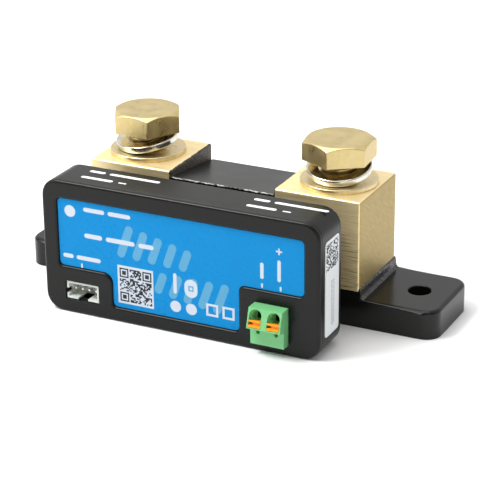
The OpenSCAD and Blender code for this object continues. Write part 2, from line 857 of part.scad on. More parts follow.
// The leaf that presses the wire onto the bar, and that the lever bends back
module clamp(side) {
    end_y = tube_y + tube_l;
    outline = [
        [end_y, cavity_top], [0.5, cavity_top], [0.2, cavity_top - 0.4], [1.3, cavity_z + 3.2],
        [1.6, cavity_z + 3.3], [0.5 + leaf_t, cavity_top - leaf_t - 0.2], [0.9, cavity_top - leaf_t],
        [end_y, cavity_top - leaf_t]];
    color(steel) at_plug() translate([side * pole_pitch / 2, 0, 0]) bar(leaf_w) polygon(outline);
}

module contact_left() { contact(-1); }

module contact_right() { contact(1); }

module clamp_left() { clamp(-1); }

module clamp_right() { clamp(1); }

module lever_left() { lever(-1); }

module lever_right() { lever(1); }

base();
block_left();
block_right();
strip(0);  // strip_1
strip(1);  // strip_2
strip(2);  // strip_3
strip(3);  // strip_4
centre_cover();
block_screws();
flat_washer_left();
flat_washer_right();
spring_washer_left();
spring_washer_right();
bolt_left();
bolt_right();
enclosure_rear();
enclosure_front();
enclosure_screws();
front_label();
side_sticker();
circuit_board();
spacer_left();
spacer_right();
sense_screw_left();
sense_screw_right();
data_socket();
data_pins();
plug_header();
header_pins();
plug_body();
contact_left();
contact_right();
clamp_left();
clamp_right();
lever_left();
lever_right();
status_led_left();
status_led_right();
light_pipe_left();
light_pipe_right();
radio_module();
controller();
sense_amplifier();
regulator();
inductor();
capacitor_left();
capacitor_right();
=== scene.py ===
"""Looks of a battery monitor shunt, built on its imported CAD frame. Metres: +X right, +Y back, +Z up."""
import json
import math
import random

import bmesh
import bpy
from mathutils import Matrix, Vector, noise


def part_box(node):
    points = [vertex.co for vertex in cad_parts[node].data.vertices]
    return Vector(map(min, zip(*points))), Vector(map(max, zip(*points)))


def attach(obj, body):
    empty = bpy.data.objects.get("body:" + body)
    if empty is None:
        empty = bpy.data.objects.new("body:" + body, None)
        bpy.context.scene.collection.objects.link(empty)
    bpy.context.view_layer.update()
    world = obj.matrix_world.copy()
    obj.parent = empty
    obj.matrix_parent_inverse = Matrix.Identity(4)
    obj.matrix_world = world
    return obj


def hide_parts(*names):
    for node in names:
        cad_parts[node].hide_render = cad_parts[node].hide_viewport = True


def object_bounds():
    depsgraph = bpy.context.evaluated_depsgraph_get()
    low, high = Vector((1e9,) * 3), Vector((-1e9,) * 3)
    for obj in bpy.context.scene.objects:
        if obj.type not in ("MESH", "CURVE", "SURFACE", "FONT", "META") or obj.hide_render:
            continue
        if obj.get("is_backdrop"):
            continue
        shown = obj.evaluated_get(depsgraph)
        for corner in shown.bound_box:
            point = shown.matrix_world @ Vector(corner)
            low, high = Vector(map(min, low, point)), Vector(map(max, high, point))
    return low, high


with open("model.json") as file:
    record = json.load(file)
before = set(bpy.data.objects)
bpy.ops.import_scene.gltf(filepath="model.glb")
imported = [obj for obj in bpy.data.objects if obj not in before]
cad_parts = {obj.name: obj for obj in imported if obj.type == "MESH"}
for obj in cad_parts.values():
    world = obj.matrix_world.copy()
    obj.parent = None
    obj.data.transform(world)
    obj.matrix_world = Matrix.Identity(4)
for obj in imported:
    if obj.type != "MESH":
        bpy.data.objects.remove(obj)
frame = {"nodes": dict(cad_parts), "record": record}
cad_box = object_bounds()

MM = 0.001
BODY_OF = {n: body for body, nodes in frame["record"]["behaviour"]["bodies"].items() for n in nodes}
SLOT_OF = {s["node"]: s["material_slot"] for s in frame["record"]["subparts"]}
SIDES = {"left": -1, "right": 1}

# ---- Camera ----

CAMERA_AZIMUTH = math.radians(26.28)
CAMERA_ELEVATION = math.radians(22.67)
CAMERA_ROLL = math.radians(-0.54)
CAMERA_DISTANCE = 509.53 * MM
CAMERA_TARGET = Vector((8.14, -12.2, 18.93)) * MM
CAMERA_LENS = 141.25
SENSOR_WIDTH = 36.0


def make_camera():
    """The camera, aimed from the front right and above."""
    az, el = CAMERA_AZIMUTH, CAMERA_ELEVATION
    back = Vector((math.sin(az) * math.cos(el), -math.cos(az) * math.cos(el), math.sin(el)))
    right = Vector((math.cos(az), math.sin(az), 0))
    up = back.cross(right)
    turned_right = right * math.cos(CAMERA_ROLL) + up * math.sin(CAMERA_ROLL)
    turned_up = back.cross(turned_right)
    data = bpy.data.cameras.new("camera")
    data.lens = CAMERA_LENS
    data.sensor_width = SENSOR_WIDTH
    data.sensor_fit = "HORIZONTAL"
    data.clip_start = 0.01
    camera = bpy.data.objects.new("camera", data)
    axes = Matrix((turned_right, turned_up, back)).transposed().to_4x4()
    camera.matrix_world = Matrix.Translation(CAMERA_TARGET + back * CAMERA_DISTANCE) @ axes
    bpy.context.scene.collection.objects.link(camera)
    bpy.context.scene.camera = camera


# ---- Floor and light ----

FLOOR_SIZE = 6.0
FLOOR_DROP = 0.02 * MM
FLOOR_GREY = 0.88
STUDIO_FRONT_GREY = 0.2
STUDIO_STRENGTH = 0.92
LIGHTS = (  # name, place, aim, width and height, power in watts
    ("overhead", (-0.15, -0.1, 0.75), (0, 0, 0), (0.8, 0.8), 4.6),
    ("key", (-0.33, -0.3, 0.66), (0, 0, 0.02), (0.26, 0.26), 4.2),
    ("front_left", (-0.75, -0.45, 0.45), (0, 0, 0.02), (0.45, 0.45), 1.7),
    ("front_right", (0.6, -0.75, 0.3), (0.02, 0, 0.02), (0.3, 0.5), 0.5),
)


def area_light(name, place, aim, size, power):
    """A soft rectangular light at place that shines towards aim."""
    data = bpy.data.lights.new(name, "AREA")
    data.shape = "RECTANGLE"
    data.size, data.size_y = size
    data.energy = power
    light = bpy.data.objects.new(name, data)
    light.location = place
    light.rotation_euler = (Vector(aim) - Vector(place)).to_track_quat("-Z", "Y").to_euler()
    bpy.context.scene.collection.objects.link(light)


def make_studio():
    """A pale floor, a studio that is bright behind and above the object, and soft lights."""
    scene = bpy.context.scene
    scene.view_settings.view_transform = "Standard"
    world = bpy.data.worlds.new("studio")
    scene.world = world
    world.use_nodes = True
    tree = world.node_tree
    coords = tree.nodes.new("ShaderNodeTexCoord")
    split = tree.nodes.new("ShaderNodeSeparateXYZ")
    ramp = tree.nodes.new("ShaderNodeValToRGB")
    spread = tree.nodes.new("ShaderNodeMapRange")
    spread.inputs["From Min"].default_value = -1
    spread.inputs["From Max"].default_value = 1
    tree.links.new(coords.outputs["Generated"], split.inputs[0])
    tree.links.new(split.outputs["Y"], spread.inputs["Value"])
    tree.links.new(spread.outputs["Result"], ramp.inputs["Fac"])
    ramp.color_ramp.elements[0].position = 0.1
    ramp.color_ramp.elements[0].color = (STUDIO_FRONT_GREY, STUDIO_FRONT_GREY, STUDIO_FRONT_GREY, 1)
    ramp.color_ramp.elements[1].position = 0.72
    ramp.color_ramp.elements[1].color = (1, 1, 1, 1)
    tree.links.new(ramp.outputs["Color"], tree.nodes["Background"].inputs["Color"])
    tree.nodes["Background"].inputs["Strength"].default_value = STUDIO_STRENGTH

    for light in LIGHTS:
        area_light(*light)

    floor_mesh = bpy.data.meshes.new("floor")
    half = FLOOR_SIZE / 2
    corners = [(x * half, y * half, -FLOOR_DROP) for x, y in ((-1, -1), (1, -1), (1, 1), (-1, 1))]
    floor_mesh.from_pydata(corners, [], [(0, 1, 2, 3)])
    floor = bpy.data.objects.new("floor", floor_mesh)
    scene.collection.objects.link(floor)
    look = Look("floor_paper", (FLOOR_GREY, FLOOR_GREY, FLOOR_GREY), 0.9)
    look.surface.inputs["Specular IOR Level"].default_value = 0.2
    floor_mesh.materials.append(look.material)
    floor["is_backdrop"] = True


# ---- Procedural materials ----


class Look:
    """A node material under construction."""

    def __init__(self, name, color, roughness, metallic=0.0, specular=0.5):
        self.material = bpy.data.materials.new(name)
        self.material.use_nodes = True
        self.tree = self.material.node_tree
        self.surface = self.tree.nodes["Principled BSDF"]
        self.surface.inputs["Base Color"].default_value = (*color, 1)
        self.surface.inputs["Roughness"].default_value = roughness
        self.surface.inputs["Metallic"].default_value = metallic
        self.surface.inputs["Specular IOR Level"].default_value = specular
        self.coords = self.tree.nodes.new("ShaderNodeTexCoord")
        self.normal = None

    def link(self, output, target):
        self.tree.links.new(output, target)

    def to(self, socket, output):
        """Feeds one of the shader's sockets."""
        self.link(output, self.surface.inputs[socket])

    def noise(self, frequency, stretch=(1, 1, 1), detail=3.0, turn=(0, 0, 0), seed=0.0):
        """Noise with the given number of features in a metre, stretched along the axes."""
        mapping = self.tree.nodes.new("ShaderNodeMapping")
        mapping.inputs["Scale"].default_value = [frequency * s for s in stretch]
        mapping.inputs["Location"].default_value = (seed, seed * 2, seed * 3)
        source = self.coords.outputs["Object"]
        if any(turn):
            turned = self.tree.nodes.new("ShaderNodeMapping")
            turned.inputs["Rotation"].default_value = turn
            self.link(source, turned.inputs["Vector"])
            source = turned.outputs["Vector"]
        self.link(source, mapping.inputs["Vector"])
        texture = self.tree.nodes.new("ShaderNodeTexNoise")
        texture.inputs["Scale"].default_value = 1.0
        texture.inputs["Detail"].default_value = detail
        self.link(mapping.outputs["Vector"], texture.inputs["Vector"])
        return texture.outputs["Fac"]

    def spread(self, value, start, end, low, high):
        """Maps value from start..end to low..high, and clamps it."""
        node = self.tree.nodes.new("ShaderNodeMapRange")
        for key, number in (("From Min", start), ("From Max", end), ("To Min", low), ("To Max", high)):
            node.inputs[key].default_value = number
        self.link(value, node.inputs["Value"])
        return node.outputs["Result"]

    def math(self, operation, a, b=None):
        """The result of an operation on one or two values, each a number or an output."""
        node = self.tree.nodes.new("ShaderNodeMath")
        node.operation = operation
        for slot, value in ((0, a), (1, b)):
            if value is None:
                continue
            if isinstance(value, (int, float)):
                node.inputs[slot].default_value = value
            else:
                self.link(value, node.inputs[slot])
        return node.outputs["Value"]

    def axis(self, letter, kind="Object"):
        """One coordinate of the surface point, or of its normal."""
        node = self.tree.nodes.new("ShaderNodeSeparateXYZ")
        self.link(self.coords.outputs[kind], node.inputs[0])
        return node.outputs[letter]

    def mix(self, factor, a, b):
        """A colour between a and b, each a colour or an output."""
        node = self.tree.nodes.new("ShaderNodeMix")
        node.data_type = "RGBA"
        self.link(factor, node.inputs["Factor"])
        for name, value in (("A", a), ("B", b)):
            socket = [s for s in node.inputs if s.name == name and s.type == "RGBA"][0]
            if isinstance(value, tuple):
                socket.default_value = (*value, 1)
            else:
                self.link(value, socket)
        return [s for s in node.outputs if s.type == "RGBA"][0]

    def bump(self, height, strength, depth):
        """Adds relief of the given depth in metres to what is there."""
        node = self.tree.nodes.new("ShaderNodeBump")
        node.inputs["Strength"].default_value = strength
        node.inputs["Distance"].default_value = depth
        self.link(height, node.inputs["Height"])
        if self.normal is not None:
            self.link(self.normal, node.inputs["Normal"])
        self.normal = node.outputs["Normal"]
        self.to("Normal", self.normal)


def moulded(name, color, roughness, grain=3500, grain_depth=0.012, specular=0.5, tint=0.12):
    """Moulded plastic: spark-eroded grain, faint flow marks and uneven gloss."""
    look = Look(name, color, roughness, specular=specular)
    fine = look.noise(grain, detail=2.0)
    flow = look.noise(90, stretch=(1, 1, 2.5), detail=4.0, seed=3.0)
    darker = tuple(c * (1 - tint) for c in color)
    lighter = tuple(min(1.0, c * (1 + tint)) for c in color)
    look.to("Base Color", look.mix(flow, darker, lighter))
    look.to("Roughness", look.spread(flow, 0.3, 0.7, roughness * 0.9, roughness * 1.12))
    look.bump(fine, 0.5, grain_depth * MM)
    return look


def rough_potting(name, pale):
    """Hand-laid black potting compound, lumpy and uneven in gloss, with pale grey spots that are painted
    highlights.
    """
    look = Look(name, (0.012, 0.012, 0.011), 0.25)
    lumps = look.noise(1100, detail=4.0)
    patches = look.noise(520, detail=2.0, seed=7.0)
    look.to("Roughness", look.spread(lumps, 0.35, 0.65, 0.12, 0.45))
    # Painted highlights: pale is the grey of the spots that stand for glints on the black compound.
    spots = look.spread(patches, 0.42, 0.5, 0, 1)
    look.to("Base Color", look.mix(spots, (0.011, 0.011, 0.01), (pale, pale, pale * 0.93)))
    look.bump(lumps, 0.8, 0.15 * MM)
    return look


BLOCK_BRASS = (0.97, 0.79, 0.44)
# The colour of the dark streaks; low on the fronts it also carries painted shade.
BLOCK_BRASS_DARK = (0.3, 0.21, 0.085)
SMEAR_X = 15.35 * MM  # the blocks are smeared with potting compound up to about this distance
SMEAR_WANDER = 0.9 * MM


def milled_brass():
    """The blocks: streaks along X on the fronts that grow darker towards the bottom as painted shade,
    slanted brushing on the sides in a darker brass that is painted shade, and smears by the cover.
    """
    look = Look("brass_milled", BLOCK_BRASS, 0.45, metallic=0.8)
    along = look.noise(1, stretch=(130, 4200, 4200), detail=5.0)
    wide = look.noise(1, stretch=(60, 900, 1300), detail=3.0, seed=5.0)
    brushed = look.noise(1, stretch=(1, 260, 5200), detail=4.0, turn=(math.radians(38), 0, 0), seed=2.0)
    side = look.spread(look.math("ABSOLUTE", look.axis("X", "Normal")), 0.6, 0.8, 0, 1)
    # Painted shade: the dark streaks on the fronts grow stronger towards the bottom of the blocks.
    depth = look.spread(look.axis("Z"), 12 * MM, 31 * MM, 1.0, 0.22)
    streaks = look.spread(look.math("ADD", along, look.math("MULTIPLY", wide, 0.35)), 0.5, 0.66, 1, 0)
    front = look.math("MULTIPLY", look.math("MULTIPLY", streaks, depth), look.math("SUBTRACT", 1.0, side))
    brass = look.mix(front, BLOCK_BRASS, BLOCK_BRASS_DARK)
    # Painted shade: the side faces get a darker brass than the fronts and tops, under their slanted
    # brushing.
    shaded_side_brass = look.mix(look.spread(brushed, 0.3, 0.7, 0, 1), (0.3, 0.215, 0.07), (0.52, 0.4, 0.165))
    metal = look.mix(side, brass, shaded_side_brass)

    wander = look.noise(700, detail=2.0, seed=9.0)
    blotch = look.noise(2600, detail=5.0, seed=4.0)
    shift = look.math("MULTIPLY", look.math("SUBTRACT", wander, 0.5), SMEAR_WANDER)
    reach = look.math("ADD", SMEAR_X, shift)
    smear = look.math("LESS_THAN", look.math("ABSOLUTE", look.axis("X")), reach)
    speck = look.math("MULTIPLY", smear, look.spread(blotch, 0.56, 0.66, 0, 1))
    coat = look.mix(look.spread(blotch, 0.35, 0.65, 0, 1), (0.012, 0.01, 0.007), (0.055, 0.045, 0.028))
    look.to("Base Color", look.mix(smear, metal, look.mix(speck, coat, (0.19, 0.155, 0.085))))
    look.to("Metallic", look.math("SUBTRACT", 0.72, look.math("MULTIPLY", smear, 0.65)))
    look.to("Roughness", look.spread(look.math("ADD", along, brushed), 0.8, 1.25, 0.38, 0.56))
    lines = look.math("ADD", look.math("MULTIPLY", along, look.math("SUBTRACT", 1.0, side)),
                      look.math("MULTIPLY", look.math("MULTIPLY", brushed, side), 0.5))
    look.bump(lines, 0.55, 0.05 * MM)
    look.bump(look.math("MULTIPLY", look.noise(1700, detail=4.0), smear), 0.9, 0.3 * MM)
    return look


def turned_brass():
    """The bolts: dull turned brass with small dents and faint marks up the flats."""
    look = Look("brass_bolt", (0.66, 0.52, 0.25), 0.36, metallic=0.95)
    cloud = look.noise(260, detail=5.0)
    upright = look.noise(1, stretch=(3800, 3800, 500), detail=4.0)
    dents = look.noise(1400, detail=2.0, seed=8.0)
    tone = look.spread(cloud, 0.3, 0.7, 0, 1)
    look.to("Base Color", look.mix(tone, (0.58, 0.455, 0.2), (0.68, 0.545, 0.27)))
    look.to("Roughness", look.spread(look.math("ADD", cloud, upright), 0.75, 1.25, 0.26, 0.46))
    look.bump(upright, 0.35, 0.04 * MM)
    look.bump(look.spread(dents, 0.64, 0.72, 0, 1), 0.35, 0.06 * MM)
    return look


def plated(name, color, roughness, wear=(0.62, 0.48, 0.22)):
    """Plated metal with fine scratches and the base metal showing at random spots."""
    look = Look(name, color, roughness, metallic=1.0)
    scratches = look.noise(1, stretch=(700, 3600, 700), detail=5.0)
    worn = look.spread(look.noise(700, detail=4.0, seed=6.0), 0.5, 0.7, 0, 1)
    look.to("Base Color", look.mix(worn, color, wear))
    look.to("Roughness", look.spread(scratches, 0.3, 0.7, roughness * 0.7, roughness * 1.6))
    look.bump(scratches, 0.25, 0.02 * MM)
    return look


def printed_film(name, color, roughness=0.28):
    """Printed polyester film: smooth, with a very fine orange peel and ink variation."""
    look = Look(name, color, roughness, specular=0.12)
    peel = look.noise(700, detail=2.0)
    ink = look.noise(5000, detail=1.0, seed=1.0)
    thin, thick = tuple(c * 0.96 for c in color), tuple(min(1, c * 1.04) for c in color)
    look.to("Base Color", look.mix(ink, thin, thick))
    look.to("Roughness", look.spread(peel, 0.3, 0.7, roughness * 0.9, roughness * 1.15))
    look.bump(peel, 0.25, 0.01 * MM)
    return look


def lacquered_board():
    """Solder-resist lacquer over copper tracks."""
    look = Look("board_lacquer", (0.02, 0.14, 0.06), 0.3)
    tracks = look.tree.nodes.new("ShaderNodeTexBrick")
    tracks.inputs["Scale"].default_value = 300
    look.link(look.coords.outputs["Object"], tracks.inputs["Vector"])
    look.to("Base Color", look.mix(tracks.outputs["Fac"], (0.016, 0.11, 0.05), (0.03, 0.19, 0.09)))
    look.bump(tracks.outputs["Fac"], 0.3, 0.03 * MM)
    return look


def make_looks():
    """Every material by the name that the pieces use."""
    shell = moulded("black_shell", (0.0055, 0.0057, 0.005), 0.3, specular=0.23)
    base = moulded("black_base", (0.006, 0.006, 0.0055), 0.2, grain=2600, grain_depth=0.005, specular=0.28)
    green = moulded("green_plastic", (0.17, 0.5, 0.2), 0.38, grain=2400, tint=0.06)
    green.surface.inputs["Subsurface Weight"].default_value = 0.12
    green.surface.inputs["Subsurface Radius"].default_value = (0.4 * MM, 1.0 * MM, 0.5 * MM)
    green.surface.inputs["Subsurface Scale"].default_value = 1.0
    looks = {
        "black_plastic": shell,
        "black_base": base,
        # Both potting looks carry pale spots as painted highlights: faint on the risers, bright on the
        # cover's edge bead.
        "potting": rough_potting("potting_compound", pale=0.016),
        "potting_edge_glints": rough_potting("potting_edge_glints", pale=0.42),
        "brass_block": milled_brass(),
        "brass_bolt": turned_brass(),
        "brass": plated("brass_turned", (0.62, 0.47, 0.2), 0.3),
        "washer_metal": plated("washer_brass", (0.74, 0.62, 0.37), 0.33, wear=(0.66, 0.52, 0.26)),
        "spring_metal": plated("spring_plating", (0.72, 0.7, 0.64), 0.13, wear=(0.6, 0.55, 0.42)),
        "resistance_alloy": plated("resistance_alloy", (0.45, 0.24, 0.13), 0.42, wear=(0.36, 0.2, 0.12)),
        "steel": plated("zinc_plated_steel", (0.5, 0.51, 0.52), 0.28, wear=(0.4, 0.4, 0.39)),
        "tinned_metal": plated("tinned_metal", (0.62, 0.6, 0.52), 0.25, wear=(0.55, 0.5, 0.38)),
        "metal_can": plated("drawn_can", (0.66, 0.66, 0.64), 0.25, wear=(0.55, 0.55, 0.54)),
        "green_plastic": green,
        "orange_plastic": moulded("orange_plastic", (0.95, 0.31, 0.01), 0.34, grain=2400, tint=0.06),
        "ivory_plastic": moulded("ivory_plastic", (0.62, 0.65, 0.6), 0.4, grain=2400, tint=0.05),
        "chip_plastic": moulded("chip_epoxy", (0.02, 0.02, 0.023), 0.5),
        "clear_plastic": moulded("milky_plastic", (0.78, 0.82, 0.8), 0.25, tint=0.03),
        "board": lacquered_board(),
        "label_film": printed_film("label_blue", (0.0, 0.22, 0.535)),
        "ink_pale_blue": printed_film("ink_pale_blue", (0.1, 0.335, 0.535)),
        "ink_white": printed_film("ink_white", (0.55, 0.6, 0.67)),
        "ink_top": printed_film("ink_top_white", (0.8, 0.8, 0.79), 0.4),
        "ink_dark": printed_film("ink_dark", (0.03, 0.032, 0.034), 0.4),
        "ink_grey": printed_film("ink_grey", (0.3, 0.32, 0.34), 0.4),
        "sticker_paper": printed_film("sticker_paper", (0.75, 0.775, 0.785), 0.35),
    }
    return {name: look.material for name, look in looks.items()}


# ---- Mesh helpers ----


def at(value, target, slack=0.03 * MM):
    """Whether value is target, apart from a little slack."""
    return abs(value - target) < slack


def new_object(name, bm):
    """A scene object from a bmesh, with its normals facing outwards."""
    bmesh.ops.recalc_face_normals(bm, faces=bm.faces)
    mesh = bpy.data.meshes.new(name)
    bm.to_mesh(mesh)
    bm.free()
    obj = bpy.data.objects.new(name, mesh)
    bpy.context.scene.collection.objects.link(obj)
    return obj


def apply_modifiers(obj):
    """Makes the modifiers' result the object's own mesh."""
    bpy.context.view_layer.update()
    graph = bpy.context.evaluated_depsgraph_get()
    mesh = bpy.data.meshes.new_from_object(obj.evaluated_get(graph))
    mesh.name = obj.name
    obj.modifiers.clear()
    obj.data = mesh


def boolean(obj, other, operation="DIFFERENCE"):
    """Cuts obj with other, or joins or intersects them, and removes other."""
    modifier = obj.modifiers.new("boolean", "BOOLEAN")
    modifier.object = other
    modifier.operation = operation
    modifier.solver = "EXACT"
    apply_modifiers(obj)
    bpy.data.objects.remove(other)


def soften(obj, width, segments=3, angle=30, weighted=False):
    """Rounds the sharp edges of obj, or the weighted ones."""
    modifier = obj.modifiers.new("soften", "BEVEL")
    modifier.width = width
    modifier.segments = segments
    modifier.limit_method = "WEIGHT" if weighted else "ANGLE"
    modifier.angle_limit = math.radians(angle)
    modifier.use_clamp_overlap = not weighted
    modifier.miter_outer = "MITER_ARC"
    apply_modifiers(obj)


def shade(obj, angle):
    """Smooth shading with hard edges where faces meet at more than the angle."""
    mesh = obj.data
    for polygon in mesh.polygons:
        polygon.use_smooth = True
    mesh.set_sharp_from_angle(angle=math.radians(angle))


def finish_piece(obj, look, body, nodes=(), slot=None, angle=35):
    """Gives a piece its shading, material and body, and hides the CAD nodes that it stands for."""
    shade(obj, angle)
    flatten = obj.modifiers.new("flatten", "WEIGHTED_NORMAL")
    flatten.keep_sharp = True
    flatten.weight = 100
    apply_modifiers(obj)
    obj.data.materials.clear()
    obj.data.materials.append(LOOKS[look])
    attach(obj, body)
    if nodes:
        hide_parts(*nodes)
    slot or SLOT_OF[nodes[0]]


def prism(outline, place, depth):
    """A solid from a flat outline: place turns a point and a height into a position."""
    bm = bmesh.new()
    low = [bm.verts.new(place(p, 0.0)) for p in outline]
    high = [bm.verts.new(place(p, depth)) for p in outline]
    bm.faces.new(low)
    bm.faces.new(high)
    for i, vertex in enumerate(low):
        j = (i + 1) % len(low)
        bm.faces.new((vertex, low[j], high[j], high[i]))
    return bm


def rounded(corners, steps):
    """An outline with rounded corners, each given as (x, y, radius)."""
    points = []
    count = len(corners)
    for i, (x, y, radius) in enumerate(corners):
        here = Vector((x, y))
        before = (Vector(corners[i - 1][:2]) - here).normalized()
        after = (Vector(corners[(i + 1) % count][:2]) - here).normalized()
        half = before.angle(after) / 2
        middle = here + (before + after).normalized() * radius / math.sin(half)
        start = here + before * radius / math.tan(half) - middle
        end = here + after * radius / math.tan(half) - middle
        turn = start.angle_signed(end)
        points += [middle + Matrix.Rotation(-turn * k / steps, 2) @ start for k in range(steps + 1)]
    return points


def box_corners(x0, y0, x1, y1, radius):
    return [(x0, y0, radius), (x1, y0, radius), (x1, y1, radius), (x0, y1, radius)]


def cad_copy(node, name, weights=None, rings=(), ring_width=0.0):
    """A new object with the CAD node's shape, its flat faces whole again. weights gives each sharp
    edge its share of the rounding, from the edge's middle and the edge. rings lists the planes, as
    (axis, value), whose faces get a ring of narrow faces along their edges, for the rounding to sit in."""
    bm = bmesh.new()
    bm.from_mesh(frame["nodes"][node].data)
    bmesh.ops.remove_doubles(bm, verts=bm.verts, dist=0.002 * MM)
    bmesh.ops.dissolve_limit(bm, angle_limit=math.radians(0.4), verts=bm.verts, edges=bm.edges)
    for axis, value in rings:
        flat = [f for f in bm.faces if all(at(v.co[axis], value, 0.01 * MM) for v in f.verts)]
        bmesh.ops.inset_region(
            bm, faces=flat, thickness=ring_width, use_even_offset=True, use_boundary=True)
    if weights is not None:
        layer = bm.edges.layers.float.new("bevel_weight_edge")
        for edge in bm.edges:
            if len(edge.link_faces) == 2 and edge.calc_face_angle(0) > math.radians(30):
                middle = (edge.verts[0].co + edge.verts[1].co) / 2
                edge[layer] = weights(middle, edge)
    return new_object(name, bm)


def lathe(profile, centre, steps):
    """A solid of revolution about the upright axis through centre, from (radius, height) points."""
    bm = bmesh.new()
    rings = []
    for i in range(steps):
        angle = 2 * math.pi * i / steps
        rings.append([
            bm.verts.new((centre[0] + r * math.cos(angle), centre[1] + r * math.sin(angle), z))
            for r, z in profile])
    for i, ring in enumerate(rings):
        after = rings[(i + 1) % steps]
        for j in range(len(profile)):
            k = (j + 1) % len(profile)
            bm.faces.new((ring[j], ring[k], after[k], after[j]))
    return bm


def cone(name, place, axis, radius, tip_radius, length, steps):
    """A cutting cone that starts at place and runs along axis."""
    bm = bmesh.new()
    turn = Vector(axis).to_track_quat("Z", "Y").to_matrix().to_4x4()
    matrix = Matrix.Translation(place) @ turn @ Matrix.Translation((0, 0, length / 2))
    bmesh.ops.create_cone(
        bm, cap_ends=True, segments=steps, radius1=radius, radius2=tip_radius, depth=length, matrix=matrix)
    return new_object(name, bm)


def lumpy_bar(name, profile, start, end, steps, rough, seed):
    """A closed bar swept from start to end. profile gives (out, up, free) points in the plane across
    it, and free is how much the noise may move each of them."""
    start, end = Vector(start), Vector(end)
    forward = (end - start).normalized()
    up = Vector((0, 0, 1))
    out = forward.cross(up)
    bm = bmesh.new()
    rings = []
    for i in range(steps + 1):
        here = start.lerp(end, i / steps)
        ring = []
        for a, b, free in profile:
            point = here + out * a + up * b
            wobble = noise.noise_vector(point / (0.9 * MM) + Vector((seed, 0, 0)))
            fine = noise.noise_vector(point / (0.35 * MM) + Vector((0, seed, 0)))
            ring.append(bm.verts.new(point + (wobble + fine * 0.5) * rough * free))
        rings.append(ring)
    for ring, after in zip(rings, rings[1:]):
        for j in range(len(profile)):
            k = (j + 1) % len(profile)
            bm.faces.new((ring[j], ring[k], after[k], after[j]))
    bm.faces.new(rings[0])
    bm.faces.new(rings[-1])
    return new_object(name, bm)


class Print:
    """Thin printed shapes on a flat face of the root body. right and up are the face's directions, and
    shapes are given in millimetres from origin."""

    def __init__(self, origin, right, up, film=0.015):
        self.origin, self.right, self.up = Vector(origin), Vector(right), Vector(up)
        self.out = self.right.cross(self.up)
        self.film = film * MM
        self.bm = bmesh.new()

    def place(self, point, height):
        """The position of a point of the sheet, at a height above the face."""
        return self.origin + (self.right * point[0] + self.up * point[1]) * MM + self.out * height

    def shape(self, outline):
        """Adds one closed shape to the sheet."""
        part = prism(outline, self.place, self.film)
        mesh = bpy.data.meshes.new("part")
        part.to_mesh(mesh)
        part.free()
        self.bm.from_mesh(mesh)
        bpy.data.meshes.remove(mesh)

    def bar(self, x, y, width, height, radius=None, lean=0.0):
        """A bar about the middle x, y, with rounded ends, turned by lean degrees."""
        radius = min(width, height) * 0.499 if radius is None else radius
        turn = Matrix.Rotation(math.radians(lean), 2)
        flat = rounded(box_corners(-width / 2, -height / 2, width / 2, height / 2, radius), 5)
        self.shape([Vector((x, y)) + turn @ p for p in flat])

    def square(self, x, y, width, height):
        """A sharp-cornered bar about the middle x, y."""
        signs = ((-1, -1), (1, -1), (1, 1), (-1, 1))
        self.shape([(x + a * width / 2, y + b * height / 2) for a, b in signs])

    def disc(self, x, y, radius, steps=40):
        angles = [2 * math.pi * i / steps for i in range(steps)]
        self.shape([(x + radius * math.cos(a), y + radius * math.sin(a)) for a in angles])

    def frame(self, x, y, size, line):
        """A square outline about the middle x, y."""
        for side in (-1, 1):
            self.square(x + side * (size - line) / 2, y, line, size)
            self.square(x, y + side * (size - line) / 2, size - 2 * line, line)

    def words(self, x, y, lengths, height, gap=0.0, lean=0.0):
        """Plain bars in place of words, from the left end of the line, turned by lean degrees."""
        turn = Matrix.Rotation(math.radians(lean), 2)
        run = 0.0
        for length in lengths:
            middle = Vector((x, y)) + turn @ Vector((run + length / 2, 0))
            self.bar(middle.x, middle.y, length, height, lean=lean)
            run += length + gap

    def build(self, name, look, slot):
        """Makes the sheet's shapes one visible piece."""
        finish_piece(new_object(name, self.bm), look, "root", slot=slot)


# ---- Blocks, base and cover ----

EAR_TOP = 7.7 * MM
EAR_FILLET = 1.0 * MM
EAR_END_X = 54 * MM
DECK_HALF = 39.2 * MM
EAR_HOLE_X = 50.8 * MM
EAR_HOLE_REACH = 3.2 * MM


def make_base():
    """The moulded base, with the upper edges of its ears and their holes rounded."""
    side_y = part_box("base")[1].y

    def weights(middle, edge):
        flat = abs(edge.verts[0].co.z - edge.verts[1].co.z) < 0.01 * MM
        if not flat or not at(middle.z, EAR_TOP):
            return 0
        x = abs(middle.x)
        if math.hypot(x - EAR_HOLE_X, middle.y) < EAR_HOLE_REACH:
            return 0.3
        rim = at(abs(middle.y), side_y, 0.2 * MM) or x > EAR_END_X
        return 1 if rim and x > DECK_HALF + 0.1 * MM else 0

    obj = cad_copy("base", "base_moulding", weights, rings=[(2, EAR_TOP)], ring_width=1.15 * MM)
    soften(obj, EAR_FILLET, segments=4, weighted=True)
    finish_piece(obj, "black_base", "root", ["base"])


def make_block(side_name):
    """A current block with softened edges, drilled and let in as the CAD block is."""
    node = "block_" + side_name
    low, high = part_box(node)
    edge_r, heel_r, mouth_r = 0.5 * MM, 1.5 * MM, 0.375 * MM

    def weights(middle, _edge):
        if at(middle.y, high.y) and at(middle.z, low.z):
            return 1
        on_sides = [at(middle[axis], low[axis]) or at(middle[axis], high[axis]) for axis in range(3)]
        if sum(on_sides) >= 2:
            return edge_r / heel_r
        return mouth_r / heel_r if at(middle.z, high.z) else 0

    faces = [(axis, corner[axis]) for axis in range(3) for corner in (low, high)]
    obj = cad_copy(node, "brass_block_" + side_name, weights, rings=faces, ring_width=1.6 * MM)
    soften(obj, heel_r, segments=4, weighted=True)
    finish_piece(obj, "brass_block", "root", [node])


